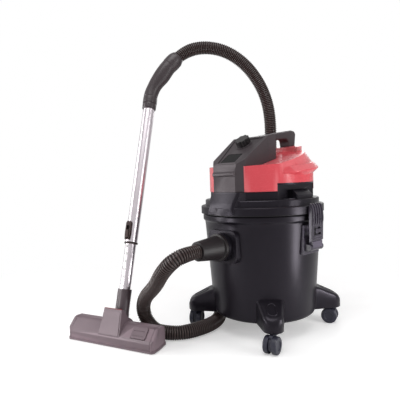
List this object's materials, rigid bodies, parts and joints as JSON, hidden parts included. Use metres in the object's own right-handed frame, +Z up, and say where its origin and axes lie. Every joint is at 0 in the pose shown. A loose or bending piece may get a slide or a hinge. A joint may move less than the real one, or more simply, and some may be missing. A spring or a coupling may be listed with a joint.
{
  "type": "shop vacuum",
  "caption": "Drum shop vacuum on swivel casters with lift-off motor head, side latches, corrugated hose, telescopic wand and floor tool.",
  "frame": {"origin": "on the floor, at the middle of the bounding box of everything but the hose", "axes": "+Z up, front of the vacuum with its inlet towards -Y, blower port towards +Y"},
  "size_m": [0.5256, 0.6507, 0.8491],
  "materials": {
    "drum_plastic": "satin",
    "latch_plastic": "satin",
    "red_plastic": "gloss",
    "column_plastic": "satin",
    "window_plastic": "gloss",
    "hose_plastic": "satin",
    "chrome_tube": "polished",
    "tool_plastic": "satin",
    "trim_red": "satin",
    "bristle": "matt",
    "soft_rubber": "matt",
    "motor_steel": "brushed",
    "filter_cloth": "matt",
    "filter_plastic": "satin",
    "caster_plastic": "satin"
  },
  "bodies": {
    "drum": {"drum_shell": "drum_plastic", "inlet_port": "drum_plastic", "inlet_deflector": "drum_plastic", "foot_front_right": "drum_plastic", "foot_front_left": "drum_plastic", "foot_rear_right": "drum_plastic", "foot_rear_left": "drum_plastic", "latch_bracket_right": "latch_plastic", "latch_bracket_left": "latch_plastic", "hose_inlet_cuff": "hose_plastic", "hose": "hose_plastic", "hose_end_cuff": "hose_plastic", "hand_grip": "hose_plastic", "wand_upper": "chrome_tube", "wand_collar": "hose_plastic"},
    "head": {"head_base": "drum_plastic", "lid_gasket": "soft_rubber", "motor_cover": "red_plastic", "control_column": "column_plastic", "panel_window": "window_plastic", "knob_bezel": "column_plastic", "rotary_switch": "column_plastic", "carry_handle": "column_plastic", "blower_port": "column_plastic", "cord_gland": "drum_plastic", "motor_gasket": "soft_rubber", "fan_housing": "motor_steel", "motor_housing": "motor_steel", "filter_cage": "filter_plastic", "filter_sleeve": "filter_cloth", "filter_cap": "filter_plastic"},
    "knob": {"power_knob": "column_plastic"},
    "rotor": {"motor_rotor": "motor_steel", "impeller": "motor_steel"},
    "float": {"float_cup": "filter_plastic"},
    "latch_r": {"latch_right": "latch_plastic", "latch_hinge_right": "latch_plastic"},
    "latch_l": {"latch_left": "latch_plastic", "latch_hinge_left": "latch_plastic"},
    "air_valve": {"air_ring": "hose_plastic"},
    "lower_wand": {"wand_lower": "chrome_tube", "neck_cuff": "tool_plastic"},
    "lock": {"lock_button": "hose_plastic"},
    "nozzle": {"nozzle_shell": "tool_plastic", "nozzle_hood": "tool_plastic", "hood_trim": "trim_red", "sole_plate": "tool_plastic"},
    "brush_pedal": {"pedal": "tool_plastic"},
    "brush": {"brush_strips": "bristle"},
    "rollers": {"nozzle_rollers": "caster_plastic"},
    "swivel_front_right": {"caster_fork_front_right": "caster_plastic"},
    "wheels_front_right": {"caster_wheels_front_right": "caster_plastic"},
    "swivel_front_left": {"caster_fork_front_left": "caster_plastic"},
    "wheels_front_left": {"caster_wheels_front_left": "caster_plastic"},
    "swivel_rear_right": {"caster_fork_rear_right": "caster_plastic"},
    "wheels_rear_right": {"caster_wheels_rear_right": "caster_plastic"},
    "swivel_rear_left": {"caster_fork_rear_left": "caster_plastic"},
    "wheels_rear_left": {"caster_wheels_rear_left": "caster_plastic"}
  },
  "joints": [
    {"name": "head_lift", "type": "slide", "parent": "drum", "child": "head", "axis": [0, 0, 1], "range_m": [0, 0.125]},
    {"name": "power_turn", "type": "hinge", "parent": "head", "child": "knob", "pos_m": [0.08032, 0.07202, 0.51526], "axis": [0, -0.5704, 0.8214], "range_deg": [0, 90]},
    {"name": "rotor_spin", "type": "hinge", "parent": "head", "child": "rotor", "pos_m": [0.08032, 0.13838, 0.39], "axis": [0, 0, 1], "continuous": true},
    {"name": "float_rise", "type": "slide", "parent": "head", "child": "float", "axis": [0, 0, 1], "range_m": [0, 0.068]},
    {"name": "latch_right_pivot", "type": "hinge", "parent": "drum", "child": "latch_r", "pos_m": [0.25132, 0.13838, 0.242], "axis": [0, 1, 0], "range_deg": [0, 100]},
    {"name": "latch_left_pivot", "type": "hinge", "parent": "drum", "child": "latch_l", "pos_m": [-0.09068, 0.13838, 0.242], "axis": [0, -1, 0], "range_deg": [0, 100]},
    {"name": "swivel_front_right", "type": "hinge", "parent": "drum", "child": "swivel_front_right", "pos_m": [0.22103, -0.00233, 0.06], "axis": [0, 0, 1], "continuous": true},
    {"name": "roll_front_right", "type": "hinge", "parent": "swivel_front_right", "child": "wheels_front_right", "pos_m": [0.22388, -0.01296, 0.022], "axis": [-0.9659, -0.2588, 0], "continuous": true},
    {"name": "swivel_front_left", "type": "hinge", "parent": "drum", "child": "swivel_front_left", "pos_m": [-0.06039, -0.00233, 0.06], "axis": [0, 0, 1], "continuous": true},
    {"name": "roll_front_left", "type": "hinge", "parent": "swivel_front_left", "child": "wheels_front_left", "pos_m": [-0.06589, 0.00719, 0.022], "axis": [0.866, 0.5, 0], "continuous": true},
    {"name": "swivel_rear_right", "type": "hinge", "parent": "drum", "child": "swivel_rear_right", "pos_m": [0.22103, 0.27909, 0.06], "axis": [0, 0, 1], "continuous": true},
    {"name": "roll_rear_right", "type": "hinge", "parent": "swivel_rear_right", "child": "wheels_rear_right", "pos_m": [0.2107, 0.27533, 0.022], "axis": [-0.342, 0.9397, 0], "continuous": true},
    {"name": "swivel_rear_left", "type": "hinge", "parent": "drum", "child": "swivel_rear_left", "pos_m": [-0.06039, 0.27909, 0.06], "axis": [0, 0, 1], "continuous": true},
    {"name": "roll_rear_left", "type": "hinge", "parent": "swivel_rear_left", "child": "wheels_rear_left", "pos_m": [-0.04977, 0.28194, 0.022], "axis": [0.2588, -0.9659, 0], "continuous": true},
    {"name": "air_ring_turn", "type": "hinge", "parent": "drum", "child": "air_valve", "pos_m": [-0.19632, -0.03529, 0.66524], "axis": [-0.0994, 0.2732, 0.9568], "range_deg": [0, 90]},
    {"name": "wand_slide", "type": "slide", "parent": "drum", "child": "lower_wand", "axis": [0.0994, -0.2732, -0.9568], "range_m": [-0.03, 0.19]},
    {"name": "lock_press", "type": "slide", "parent": "drum", "child": "lock", "axis": [-0.0994, 0.2732, 0.9568], "range_m": [0, 0.01], "stiffness_N_per_m": 300},
    {"name": "nozzle_tilt", "type": "hinge", "parent": "lower_wand", "child": "nozzle", "pos_m": [-0.1301, -0.21722, 0.028], "axis": [0.9397, 0.342, 0], "range_deg": [-15, 55]},
    {"name": "pedal_tilt", "type": "hinge", "parent": "nozzle", "child": "brush_pedal", "pos_m": [-0.03793, -0.20732, 0.04755], "axis": [0.9397, 0.342, 0], "range_deg": [-0.5, 7.5]},
    {"name": "brush_lift", "type": "slide", "parent": "nozzle", "child": "brush", "axis": [0, 0, 1], "range_m": [0, 0.0046]},
    {"name": "roller_roll", "type": "hinge", "parent": "nozzle", "child": "rollers", "pos_m": [-0.13489, -0.20407, 0.005], "axis": [0.9397, 0.342, 0], "continuous": true}
  ],
  "couplings": [
    {"joint": "pedal_tilt", "follows": "brush_lift", "rad_per_m": 26.316}
  ]
}
